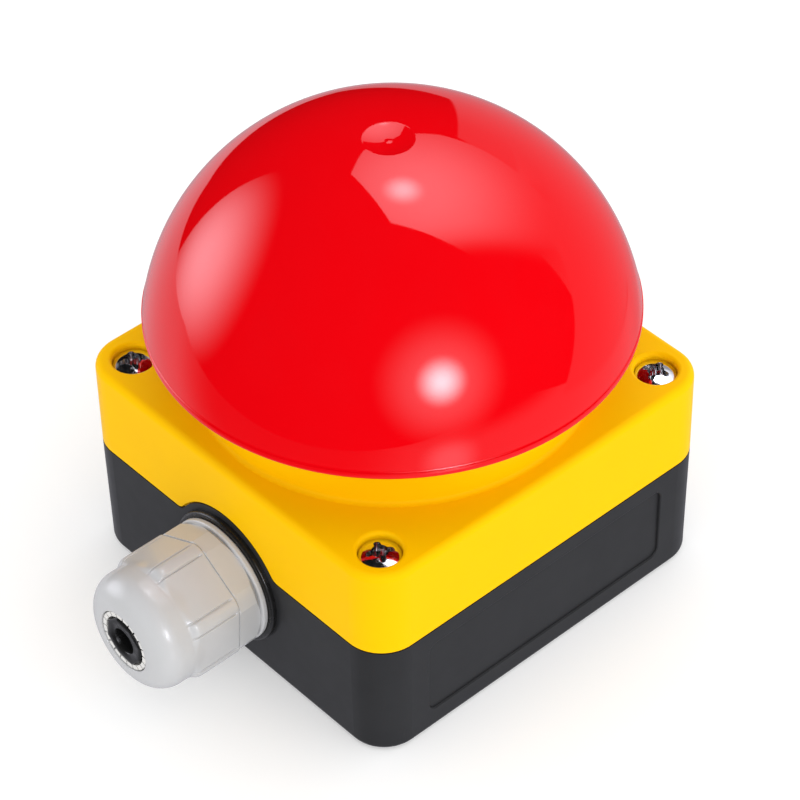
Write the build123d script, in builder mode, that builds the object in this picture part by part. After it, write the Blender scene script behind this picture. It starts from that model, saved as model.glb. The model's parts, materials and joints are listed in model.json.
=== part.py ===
from build123d import *
from math import cos, radians, tan
import os

os.makedirs("parts", exist_ok=True)

# Emergency stop palm button in a square surface mounting box, in millimetres.
# The origin is the centre of the underside. The cable gland points along -Y
# and the label panel faces +X. The button travels along Z.

# Enclosure
box_size = 85.0
box_corner = 8.0
wall = 3.0
floor_thickness = 3.0
base_height = 26.4
base_draft = 0.65
base_edge = 1.4
lid_height = 19.7
lid_roof = 3.0
lid_edge = 1.5

# Dark joint line between lid and base, and the gasket behind it
shadow_gap = 0.35
shadow_depth = 0.8
gasket_inset = 1.7
gasket_width = 1.2
gasket_height = 1.4

# Arch of the base round the gland
gland_drop = 7.6
arch_radius = 15.2
arch_blend = 2.5
arch_reach = 20.0

# Label panel
panel_side = 12.4
panel_foot = 5.1
panel_margin = 3.7
panel_corner = 2.0
panel_recess = 0.55
panel_edge = 0.3

# Lid screws, each turned as far as it was tightened
screw_inset = 7.5
screw_shank = 3.5
screw_length = 26.0
screw_head_height = 3.2
screw_dome = 1.1
screw_edge = 0.35
screw_recess_span = 5.6
screw_recess_slot = 1.4
screw_recess_core = 3.3
screw_recess_depth = 2.5
screw_recess_draft = 9.0
screw_turns = ((1, -1, 63.6), (1, 1, 20.8), (-1, -1, 65.6), (-1, 1, 40.0))
well_bore = 8.3
well_play = 0.1
well_depth = 3.5
well_lip = 0.8
boss_wall = 1.6
pillar_diameter = 10.0

# Holes for fixing the box to a surface
mount_inset = 15.5
mount_hole = 4.5
mount_boss_wall = 2.4
mount_boss_height = 2.0

# Collar on the lid
collar_inset = 4.5
collar_height = 7.9
collar_draft = 2.0
collar_edge = 1.6
collar_foot = 1.0

# Palm button
cap_diameter = 94.5
cap_rise = 46.5
cap_stop = 0.4
cap_skirt = 6.7
cap_wall = 2.4
cap_lip_height = 1.5
cap_lip_step = 0.12
cap_rim_round = 0.5
cap_rib_count = 4
cap_rib_thickness = 1.8
cap_rib_step = 4.0
cap_rib_rise = 2.0
cap_rib_reach = 36.0
hub_diameter = 22.0
dimple_diameter = 11.2
dimple_depth = 0.85
dimple_edge = 0.4
gate_mark_round = 1.5
gate_mark_height = 0.15
button_travel = 6.0

# Slider and its guide
stem_diameter = 10.0
stem_below_bush = 1.7
stem_grip = 12.0
stem_lead = 0.8
stem_collar_diameter = 21.0
stem_collar_height = 4.0
bush_diameter = 22.0
bush_below_roof = 10.0
bush_flange_diameter = 32.0
bush_flange_height = 3.0
bush_flange_edge = 0.8
bush_washer_height = 1.0
bush_nut_diameter = 30.0
bush_nut_height = 4.0
bush_nut_notches = 6
bush_nut_notch = 3.0
bush_nut_notch_depth = 2.0
running_clearance = 0.05
fit_clearance = 0.1

# Latch clip
latch_wire = 1.2
latch_gap = 0.6
latch_groove = 1.5
latch_groove_depth = 0.5
latch_slack = 0.15
latch_bow = 9.0

# Boot and return spring round the stem
boot_height = 12.0
bellows_inner = 18.4
bellows_outer = 26.0
bellows_wall = 0.8
bellows_folds = 3
spring_diameter = 14.4
spring_wire = 1.2
spring_turns = 4

# Plate that pushes the contacts
actuator_length = 24.0
actuator_width = 13.0
actuator_thickness = 2.5
actuator_corner = 2.0
stem_screw_diameter = 4.0
stem_screw_head = 7.4
stem_screw_length = 10.0
stem_screw_slot = 1.0
stem_screw_slot_depth = 0.9

# Bracket that carries the contact blocks
holder_width = 34.0
holder_length = 26.6
holder_thickness = 3.5
holder_corner = 3.0
holder_leg_width = 26.0
holder_leg = 2.8
holder_screw_diameter = 3.0
holder_screw_head = 5.5
holder_screw_head_height = 2.2

# Contact blocks
block_spacing = 14.0
block_width = 12.0
block_length = 40.0
block_height = 22.0
block_gap = 0.8
block_wall = 1.3
block_roof = 3.0
block_floor = 2.0
block_cover = 1.2
block_cover_edge = 0.4
block_room = 22.0
plunger_size = 5.8
plunger_play = 0.1
plunger_touch = 0.05
plunger_below_head = 9.5
plunger_round = 0.6
plunger_flange = 7.2
plunger_flange_height = 1.0
plunger_pin = 3.0
plunger_pin_length = 4.0
contact_spring_diameter = 4.6
contact_spring_wire = 0.7
contact_spring_turns = 5
strip_thickness = 1.0
strip_width = 5.0
strip_inner_end = 5.5
strip_outer_end = 19.5
strip_bend = 12.0
strip_below_head = 4.5
closing_strip_rise = 7.0
contact_offset = 8.0
contact_diameter = 3.0
contact_height = 0.3
bridge_width = 4.0
bridge_thickness = 0.8
terminal_offset = 16.0
terminal_screw = 3.0
terminal_screw_length = 5.5
terminal_head = 5.0
terminal_head_height = 1.8
terminal_slot = 0.8
terminal_pocket = 5.4
terminal_screw_turn = 35.0

# Cable gland, measured outward from the face of the box
gland_thread = 20.0
gland_thread_play = 0.2
gland_thread_inside = 12.0
gland_turn = 26.0
gland_flats = 24.0
gland_corner = 25.8
gland_back = 0.9
gland_edge = 0.2
gland_flange_diameter = 25.8
gland_flange_round = 0.4
gland_washer_diameter = 27.8
gland_washer_height = 1.2
gland_washer_round = 0.5
gland_pad_diameter = 28.2
gland_flange_height = 1.2
gland_hex_height = 4.9
gland_bore = 15.2
gland_neck_diameter = 19.4
gland_neck_length = 8.0
gland_joint = 0.1
gland_corner_round = 1.6
gland_nut_flats = 23.6
gland_nut_corner = 26.3
gland_nut_shoulder = 1.3
gland_nut_length = 18.2
gland_nut_hex_length = 10.8
gland_nut_play = 0.3
gland_rib_width = 2.6
gland_groove_length = 10.1
gland_groove_width = 0.6
gland_groove_depth = 0.4
gland_nose_bulge = 24.3
gland_nose_round = 5.2
gland_nose_land = 1.5
gland_nose_overlap = 3.0
gland_nose_dip = 0.6
gland_mouth = 12.6
gland_mouth_land = 4.0
gland_mouth_round = 0.3
clamp_lamellae = 20
clamp_wall = 0.95
clamp_slot = 0.35
clamp_slot_depth = 3.0
clamp_length = 11.5
clamp_recess = 0.35
seal_bore = 5.8
seal_length = 10.0
seal_recess = 0.9
gland_play = 0.1
locknut_flats = 26.0
locknut_height = 5.0

# Places that follow from these sizes
half = box_size / 2
screw_pitch = box_size - 2 * screw_inset
mount_pitch = box_size - 2 * mount_inset
collar_diameter = box_size - 2 * collar_inset
panel_length = box_size - 2 * panel_side
panel_height = base_height - panel_foot - panel_margin
panel_middle = panel_foot + panel_height / 2
gland_height = base_height - gland_drop
lid_top = base_height + lid_height
lid_ceiling = lid_top - lid_roof
collar_top = lid_top + collar_height
drum_ceiling = collar_top - lid_roof
flange_foot = collar_top + bush_washer_height
flange_top = flange_foot + bush_flange_height
screw_seat = lid_top - well_depth
screw_head = well_bore - 2 * well_play
collar_under = flange_top + boot_height
hub_foot = collar_under + stem_collar_height
stem_head = hub_foot + stem_grip
cap_rim = collar_top + button_travel + cap_stop
cap_middle = cap_rim - cap_skirt
cap_rib_foot = hub_foot + cap_rib_step
bush_foot = drum_ceiling - bush_below_roof
stem_foot = bush_foot - stem_below_bush
holder_foot = bush_foot
holder_top = holder_foot + holder_thickness
latch_height = holder_top + latch_gap + latch_wire / 2
actuator_foot = stem_foot - actuator_thickness
plunger_head = actuator_foot - plunger_touch
block_head = actuator_foot - button_travel - block_gap
block_foot = block_head - block_height
plunger_foot = block_head - plunger_below_head
strip_outer_height = block_head - strip_below_head
closing_strip_height = block_foot + closing_strip_rise
gasket_outer = box_size - 2 * (gasket_inset - gasket_width / 2)
gasket_inner = gasket_outer - 2 * gasket_width


# Outline of the base round the gland, above the joint line, grown by a margin
def arch_profile(plane, grow):
    line = base_height + grow
    with BuildSketch(plane) as profile:
        with Locations((0, gland_height)):
            Circle(arch_radius + grow)
        with Locations((0, line)):
            Rectangle(2 * arch_reach, arch_blend + grow, align=(Align.CENTER, Align.MAX))
        inner_corners = profile.vertices().filter_by(
            lambda v: abs(v.Y - line) < 0.001 and abs(v.X) < arch_radius + grow
        )
        fillet(inner_corners, arch_blend - grow)
        with Locations((0, base_height)):
            Rectangle(2 * arch_reach, 2 * arch_radius, align=(Align.CENTER, Align.MIN), mode=Mode.INTERSECT)
    return profile.sketch


# Plane square to the gland's axis, a distance outward from the face of the box
def gland_plane(outward):
    return Plane(origin=(0, -half - outward, gland_height), x_dir=(1, 0, 0), z_dir=(0, -1, 0))


# Lower half of the box
base_foot = box_size - 2 * base_height * tan(radians(base_draft))
foot_corner = box_corner - base_height * tan(radians(base_draft))
with BuildPart() as base_shell:
    with BuildSketch():
        RectangleRounded(base_foot, base_foot, foot_corner)
    extrude(amount=base_height, taper=-base_draft)
    fillet(base_shell.faces().sort_by(Axis.Z)[0].edges(), base_edge)
    with BuildSketch(Plane.XY.offset(floor_thickness)):
        RectangleRounded(box_size - 2 * wall, box_size - 2 * wall, box_corner - wall)
    extrude(amount=base_height, mode=Mode.SUBTRACT)
    extrude(arch_profile(Plane.XZ.offset(half), 0), amount=-wall)
    with BuildSketch(Plane.XY.offset(floor_thickness / 2)):
        with GridLocations(screw_pitch, screw_pitch, 2, 2):
            Circle(pillar_diameter / 2)
    extrude(amount=base_height - floor_thickness / 2)
    with BuildSketch(Plane.XY.offset(base_height)):
        with GridLocations(screw_pitch, screw_pitch, 2, 2):
            Circle(screw_shank / 2 + fit_clearance)
    extrude(amount=-(screw_seat - screw_length), mode=Mode.SUBTRACT)
    with BuildSketch(Plane.XY.offset(floor_thickness / 2)):
        with GridLocations(mount_pitch, mount_pitch, 2, 2):
            Circle(mount_hole / 2 + mount_boss_wall)
    extrude(amount=floor_thickness / 2 + mount_boss_height)
    with BuildSketch():
        with GridLocations(mount_pitch, mount_pitch, 2, 2):
            Circle(mount_hole / 2)
    extrude(amount=floor_thickness + mount_boss_height, mode=Mode.SUBTRACT)
    with BuildSketch(gland_plane(0)):
        Circle(gland_pad_diameter / 2)
    extrude(amount=-wall)
    with BuildSketch(gland_plane(0)):
        Circle(gland_thread / 2 + gland_thread_play)
    extrude(amount=-wall, mode=Mode.SUBTRACT)
    panel_draft = (base_height - panel_middle) * tan(radians(base_draft))
    with BuildSketch(Plane.YZ.offset(half)):
        with Locations((0, panel_middle)):
            RectangleRounded(panel_length, panel_height, panel_corner)
    extrude(amount=-panel_draft - panel_recess, mode=Mode.SUBTRACT)
    panel_rim = base_shell.edges().filter_by(
        lambda e: e.center().X > half - panel_draft - panel_recess / 2
        and abs(e.center().Y) < panel_length / 2 + 0.01
        and abs(e.center().Z - panel_middle) < panel_height / 2 + 0.01
    )
    fillet(panel_rim, panel_edge)
base_shell.part.label = "base_shell"
export_step(base_shell.part, "parts/base_shell.step")

# Upper half of the box, with the collar under the button
with BuildPart() as lid:
    with BuildSketch(Plane.XY.offset(base_height)):
        RectangleRounded(box_size, box_size, box_corner)
    extrude(amount=lid_height)
    fillet(lid.faces().sort_by(Axis.Z)[-1].edges(), lid_edge)
    with BuildSketch(Plane.XY.offset(lid_top)):
        Circle(collar_diameter / 2)
    extrude(amount=collar_height, taper=collar_draft)
    fillet(lid.faces().sort_by(Axis.Z)[-1].edges(), collar_edge)
    foot_edges = lid.edges().filter_by(GeomType.CIRCLE).filter_by(
        lambda e: abs(e.center().Z - lid_top) < 0.001 and abs(e.radius - collar_diameter / 2) < 0.001
    )
    fillet(foot_edges, collar_foot)
    with BuildSketch(Plane.XY.offset(base_height)):
        RectangleRounded(box_size - 2 * wall, box_size - 2 * wall, box_corner - wall)
        with GridLocations(screw_pitch, screw_pitch, 2, 2):
            Circle(well_bore / 2 + boss_wall, mode=Mode.SUBTRACT)
    extrude(amount=lid_height - lid_roof, mode=Mode.SUBTRACT)
    with BuildSketch(Plane.XY.offset(lid_ceiling)):
        Circle(collar_diameter / 2 - wall)
    extrude(amount=drum_ceiling - lid_ceiling, mode=Mode.SUBTRACT)
    with BuildSketch(Plane.XY.offset(drum_ceiling)):
        Circle(bush_diameter / 2 + fit_clearance)
    extrude(amount=lid_roof, mode=Mode.SUBTRACT)
    with BuildSketch(Plane.XY.offset(lid_top)):
        with GridLocations(screw_pitch, screw_pitch, 2, 2):
            Circle(well_bore / 2)
    extrude(amount=-well_depth, mode=Mode.SUBTRACT)
    well_edges = lid.edges().filter_by(GeomType.CIRCLE).filter_by(
        lambda e: abs(e.center().Z - lid_top) < 0.001 and abs(e.radius - well_bore / 2) < 0.001
    )
    fillet(well_edges, well_lip)
    with BuildSketch(Plane.XY.offset(screw_seat)):
        with GridLocations(screw_pitch, screw_pitch, 2, 2):
            Circle(screw_shank / 2 + fit_clearance)
    extrude(amount=base_height - screw_seat, mode=Mode.SUBTRACT)
    extrude(arch_profile(Plane.XZ.offset(half), 0), amount=-wall, mode=Mode.SUBTRACT)
    with BuildSketch(Plane.XY.offset(base_height)):
        RectangleRounded(box_size, box_size, box_corner)
        RectangleRounded(
            box_size - 2 * shadow_depth, box_size - 2 * shadow_depth, box_corner - shadow_depth,
            mode=Mode.SUBTRACT,
        )
    extrude(amount=shadow_gap, mode=Mode.SUBTRACT)
    extrude(arch_profile(Plane.XZ.offset(half), shadow_gap), amount=-shadow_depth, mode=Mode.SUBTRACT)
    with BuildSketch(Plane.XY.offset(base_height)):
        RectangleRounded(gasket_outer, gasket_outer, gasket_outer / 2 - screw_pitch / 2)
        RectangleRounded(gasket_inner, gasket_inner, gasket_inner / 2 - screw_pitch / 2, mode=Mode.SUBTRACT)
    extrude(amount=gasket_height, mode=Mode.SUBTRACT)
    gasket_arch = arch_profile(Plane.XZ.offset(gasket_outer / 2), gasket_height)
    extrude(gasket_arch, amount=-gasket_width, mode=Mode.SUBTRACT)
lid.part.label = "lid"
export_step(lid.part, "parts/lid.step")

# Gasket in the lid's groove, which follows the arch
with BuildPart() as lid_gasket:
    with BuildSketch(Plane.XY.offset(base_height)):
        RectangleRounded(gasket_outer, gasket_outer, gasket_outer / 2 - screw_pitch / 2)
        RectangleRounded(gasket_inner, gasket_inner, gasket_inner / 2 - screw_pitch / 2, mode=Mode.SUBTRACT)
    extrude(amount=gasket_height)
    extrude(gasket_arch, amount=-gasket_width)
    extrude(arch_profile(Plane.XZ.offset(half), 0), amount=-wall, mode=Mode.SUBTRACT)
lid_gasket.part.label = "lid_gasket"
export_step(lid_gasket.part, "parts/lid_gasket.step")

# One pan head screw with a cross recess, standing on its seat
screw_rim = screw_head_height - screw_dome
with BuildPart() as lid_screw:
    with BuildSketch(Plane.XZ):
        with BuildLine():
            Polyline(
                (0, screw_head_height),
                (0, -screw_length),
                (screw_shank / 2, -screw_length),
                (screw_shank / 2, 0),
                (screw_head / 2, 0),
                (screw_head / 2, screw_rim),
            )
            TangentArc((0, screw_head_height), (screw_head / 2, screw_rim), tangent=(1, 0))
        make_face()
    revolve(axis=Axis.Z)
    fillet(lid_screw.edges().filter_by(lambda e: abs(e.center().Z - screw_rim) < 0.001), screw_edge)
    with BuildSketch(Plane.XY.offset(screw_head_height)):
        SlotOverall(screw_recess_span, screw_recess_slot)
        SlotOverall(screw_recess_span, screw_recess_slot, rotation=90)
        Circle(screw_recess_core / 2)
    extrude(amount=-screw_recess_depth, taper=screw_recess_draft, mode=Mode.SUBTRACT)

# Four of them in the wells of the lid
with BuildPart() as lid_screws:
    for x_side, y_side, turn in screw_turns:
        corner = (x_side * screw_pitch / 2, y_side * screw_pitch / 2, screw_seat)
        with Locations(Location(corner, (0, 0, turn))):
            add(lid_screw.part)
lid_screws.part.label = "lid_screws"
export_step(lid_screws.part, "parts/lid_screws.step")


# Half section of a dome from a foot plane to its top, shrunk by a margin
def dome_section(shrink, foot):
    radius = cap_diameter / 2 - shrink
    rise = cap_rise - shrink
    with BuildSketch(Plane.XZ) as section:
        with Locations((0, cap_middle)):
            Ellipse(radius, rise)
        with Locations((0, foot)):
            Rectangle(radius, 2 * rise, align=(Align.MIN, Align.MIN), mode=Mode.INTERSECT)
    return section.sketch


# Space inside the dome, round its hub and ribs
with BuildPart() as cap_space:
    revolve(dome_section(cap_wall, cap_rim), axis=Axis.Z)
    with BuildSketch(Plane.XY.offset(hub_foot)):
        Circle(hub_diameter / 2)
    extrude(amount=cap_rise, mode=Mode.SUBTRACT)
    with BuildSketch(Plane.XZ) as rib:
        with BuildLine():
            Polyline(
                (hub_diameter / 4, cap_rib_foot),
                (cap_rib_reach, cap_rib_foot + cap_rib_rise),
                (cap_diameter / 2, cap_rib_foot + cap_rise),
                (hub_diameter / 4, cap_rib_foot + cap_rise),
                close=True,
            )
        make_face()
    rib_blade = extrude(rib.sketch, amount=cap_rib_thickness / 2, both=True, mode=Mode.PRIVATE)
    with PolarLocations(0, cap_rib_count):
        add(rib_blade, mode=Mode.SUBTRACT)

# Palm button
lip_share = (cap_skirt + cap_lip_height) / cap_rise
lip_radius = cap_diameter / 2 * (1 - lip_share**2) ** 0.5 + cap_lip_step
with BuildPart() as cap:
    revolve(dome_section(0, cap_rim + cap_lip_height), axis=Axis.Z)
    with BuildSketch(Plane.XY.offset(cap_rim)):
        Circle(lip_radius)
    extrude(amount=cap_lip_height)
    add(cap_space.part, mode=Mode.SUBTRACT)
    rim = cap.edges().filter_by(GeomType.CIRCLE).group_by(Axis.Z)[0]
    fillet(rim.sort_by(SortBy.RADIUS)[-1], cap_rim_round)
    with BuildSketch(Plane.XY.offset(hub_foot)):
        Circle(stem_diameter / 2 + fit_clearance)
    extrude(amount=stem_head - hub_foot, mode=Mode.SUBTRACT)
    dimple_radius = ((dimple_diameter / 2) ** 2 + dimple_depth**2) / (2 * dimple_depth)
    with Locations((0, 0, cap_middle + cap_rise - dimple_depth + dimple_radius)):
        Sphere(dimple_radius, mode=Mode.SUBTRACT)
    fillet(cap.edges().group_by(Axis.Z)[-1], dimple_edge)
    with Locations((0, 0, cap_middle + cap_rise - dimple_depth + gate_mark_height - gate_mark_round)):
        Sphere(gate_mark_round)
cap.part.label = "cap"
export_step(cap.part, "parts/cap.step")

# Slider that carries the button, with a latch groove for each rest position
with BuildPart() as stem:
    with BuildSketch(Plane.XY.offset(stem_foot)):
        Circle(stem_diameter / 2)
    extrude(amount=stem_head - stem_foot)
    with BuildSketch(Plane.XY.offset(collar_under)):
        Circle(stem_collar_diameter / 2)
    extrude(amount=stem_collar_height)
    with BuildSketch(Plane.XZ) as grooves:
        groove_middle = stem_diameter / 2 + latch_groove / 2 - latch_groove_depth
        with Locations((groove_middle, latch_height), (groove_middle, latch_height + button_travel)):
            Circle(latch_groove / 2)
    revolve(axis=Axis.Z, mode=Mode.SUBTRACT)
    with BuildSketch(Plane.XY.offset(stem_foot)):
        Circle(stem_screw_diameter / 2 + fit_clearance)
    extrude(amount=stem_screw_length, mode=Mode.SUBTRACT)
    chamfer(stem.edges().group_by(Axis.Z)[-1], stem_lead)
stem.part.label = "stem"
export_step(stem.part, "parts/stem.step")

# Guide sleeve, with a slot for each leg of the latch clip
latch_offset = stem_diameter / 2 + latch_slack + latch_wire / 2
with BuildPart() as bush:
    with BuildSketch(Plane.XY.offset(bush_foot)):
        Circle(bush_diameter / 2)
    extrude(amount=flange_top - bush_foot)
    with BuildSketch(Plane.XY.offset(flange_foot)):
        Circle(bush_flange_diameter / 2)
    extrude(amount=bush_flange_height)
    fillet(bush.edges().group_by(Axis.Z)[-1], bush_flange_edge)
    with BuildSketch(Plane.XY.offset(bush_foot)):
        Circle(stem_diameter / 2 + running_clearance)
    extrude(amount=flange_top - bush_foot, mode=Mode.SUBTRACT)
    with BuildSketch(Plane.XY.offset(latch_height - latch_wire / 2 - fit_clearance / 2)):
        with Locations((latch_offset, 0), (-latch_offset, 0)):
            Rectangle(latch_wire + fit_clearance, bush_diameter)
    extrude(amount=latch_wire + fit_clearance, mode=Mode.SUBTRACT)
bush.part.label = "bush"
export_step(bush.part, "parts/bush.step")

# Hairpin of spring wire whose legs snap into the stem's grooves
with BuildPart() as latch_clip:
    with BuildSketch(Plane.XZ.offset(-latch_bow)) as wire_section:
        with Locations((latch_offset, latch_height)):
            Circle(latch_wire / 2)
    extrude(amount=2 * latch_bow)
    mirror(about=Plane.YZ)
    revolve(wire_section.sketch, axis=Axis((0, latch_bow, 0), (0, 0, 1)), revolution_arc=180)
latch_clip.part.label = "latch_clip"
export_step(latch_clip.part, "parts/latch_clip.step")

# Seal between the sleeve's flange and the lid
with BuildPart() as bush_washer:
    with BuildSketch(Plane.XY.offset(collar_top)):
        Circle(bush_flange_diameter / 2)
        Circle(bush_diameter / 2 + fit_clearance, mode=Mode.SUBTRACT)
    extrude(amount=bush_washer_height)
bush_washer.part.label = "bush_washer"
export_step(bush_washer.part, "parts/bush_washer.step")

# Notched ring nut under the lid
with BuildPart() as bush_nut:
    with BuildSketch(Plane.XY.offset(drum_ceiling)):
        Circle(bush_nut_diameter / 2)
        Circle(bush_diameter / 2 + fit_clearance, mode=Mode.SUBTRACT)
        with PolarLocations(bush_nut_diameter / 2, bush_nut_notches):
            Rectangle(2 * bush_nut_notch_depth, bush_nut_notch, mode=Mode.SUBTRACT)
    extrude(amount=-bush_nut_height)
bush_nut.part.label = "bush_nut"
export_step(bush_nut.part, "parts/bush_nut.step")

# Rubber boot between the sleeve's flange and the stem's collar
with BuildPart() as bellows:
    fold_rise = (collar_under - flange_top) / (2 * bellows_folds)
    outside = []
    inside = []
    for step in range(2 * bellows_folds + 1):
        width = bellows_outer if step % 2 else bellows_inner + 2 * bellows_wall
        outside.append((width / 2, flange_top + step * fold_rise))
        inside.append((width / 2 - bellows_wall, flange_top + step * fold_rise))
    with BuildSketch(Plane.XZ):
        with BuildLine():
            Polyline(*outside, *reversed(inside), close=True)
        make_face()
    revolve(axis=Axis.Z)
bellows.part.label = "bellows"
export_step(bellows.part, "parts/bellows.step")


# Coil of round wire standing between two heights
def coil(foot, head, diameter, wire, turns):
    rise = head - foot - wire
    with BuildPart() as spring:
        with BuildLine(Plane.XY.offset(foot + wire / 2)) as path:
            Helix(rise / turns, rise, diameter / 2)
        with BuildSketch(Plane(origin=path.line @ 0, z_dir=path.line % 0)):
            Circle(wire / 2)
        sweep(is_frenet=True)
    return spring.part


# Return spring inside the boot
with BuildPart() as return_spring:
    add(coil(flange_top, collar_under, spring_diameter, spring_wire, spring_turns))
return_spring.part.label = "return_spring"
export_step(return_spring.part, "parts/return_spring.step")

# Plate at the foot of the stem
with BuildPart() as actuator_plate:
    with BuildSketch(Plane.XY.offset(actuator_foot)):
        RectangleRounded(actuator_length, actuator_width, actuator_corner)
    extrude(amount=actuator_thickness)
    with Locations(Plane.XY.offset(actuator_foot).rotated((180, 0, 0))):
        CounterSinkHole(stem_screw_diameter / 2 + fit_clearance, stem_screw_head / 2 + fit_clearance)
actuator_plate.part.label = "actuator_plate"
export_step(actuator_plate.part, "parts/actuator_plate.step")

# Countersunk screw that holds the plate on the stem
with BuildPart() as stem_screw:
    head_depth = (stem_screw_head - stem_screw_diameter) / 2
    with BuildSketch(Plane.XZ):
        with BuildLine():
            Polyline(
                (0, actuator_foot),
                (stem_screw_head / 2, actuator_foot),
                (stem_screw_diameter / 2, actuator_foot + head_depth),
                (stem_screw_diameter / 2, actuator_foot + stem_screw_length),
                (0, actuator_foot + stem_screw_length),
                close=True,
            )
        make_face()
    revolve(axis=Axis.Z)
    with BuildSketch(Plane.XY.offset(actuator_foot)):
        Rectangle(2 * stem_screw_head, stem_screw_slot)
    extrude(amount=stem_screw_slot_depth, mode=Mode.SUBTRACT)
stem_screw.part.label = "stem_screw"
export_step(stem_screw.part, "parts/stem_screw.step")

# Bracket on the foot of the sleeve
with BuildPart() as contact_holder:
    with BuildSketch(Plane.XY.offset(holder_foot)):
        RectangleRounded(holder_width, holder_length, holder_corner)
    extrude(amount=holder_thickness)
    with BuildSketch(Plane.XY.offset(block_head)):
        with GridLocations(0, holder_length - holder_leg, 1, 2):
            Rectangle(holder_leg_width, holder_leg)
    extrude(amount=holder_top - block_head)
    with BuildSketch(Plane.XY.offset(holder_foot)):
        Circle(bush_diameter / 2 + fit_clearance)
    extrude(amount=holder_thickness, mode=Mode.SUBTRACT)
    with BuildSketch(Plane.YZ.offset(bush_diameter / 2)):
        with Locations((0, holder_foot + holder_thickness / 2)):
            Circle(holder_screw_diameter / 2 + fit_clearance / 2)
    extrude(amount=holder_width, mode=Mode.SUBTRACT)
contact_holder.part.label = "contact_holder"
export_step(contact_holder.part, "parts/contact_holder.step")

# Screw that locks the bracket on the sleeve
with BuildPart() as holder_screw:
    with BuildSketch(Plane.YZ.offset(bush_diameter / 2 + fit_clearance)):
        with Locations((0, holder_foot + holder_thickness / 2)):
            Circle(holder_screw_diameter / 2)
    extrude(amount=holder_width / 2 - bush_diameter / 2)
    with BuildSketch(Plane.YZ.offset(holder_width / 2)):
        with Locations((0, holder_foot + holder_thickness / 2)):
            Circle(holder_screw_head / 2)
    extrude(amount=holder_screw_head_height)
    with BuildSketch(Plane.YZ.offset(holder_width / 2 + holder_screw_head_height)):
        with Locations((0, holder_foot + holder_thickness / 2)):
            Rectangle(holder_screw_head, terminal_slot)
    extrude(amount=-holder_screw_head_height / 2, mode=Mode.SUBTRACT)
holder_screw.part.label = "holder_screw"
export_step(holder_screw.part, "parts/holder_screw.step")


# Side view of one pair of contact strips, with the inner ends at a height
def strip_profile(plane, inner_height):
    low = min(inner_height, strip_outer_height)
    rise = max(inner_height, strip_outer_height) + strip_thickness - low
    reach = strip_bend + strip_thickness - strip_inner_end
    with BuildSketch(plane) as profile:
        for way, edge in ((1, Align.MIN), (-1, Align.MAX)):
            with Locations((way * strip_inner_end, inner_height)):
                Rectangle(reach, strip_thickness, align=(edge, Align.MIN))
            with Locations((way * strip_bend, low)):
                Rectangle(strip_thickness, rise, align=(edge, Align.MIN))
            with Locations((way * strip_bend, strip_outer_height)):
                Rectangle(strip_outer_end - strip_bend, strip_thickness, align=(edge, Align.MIN))
    return profile.sketch


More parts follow.
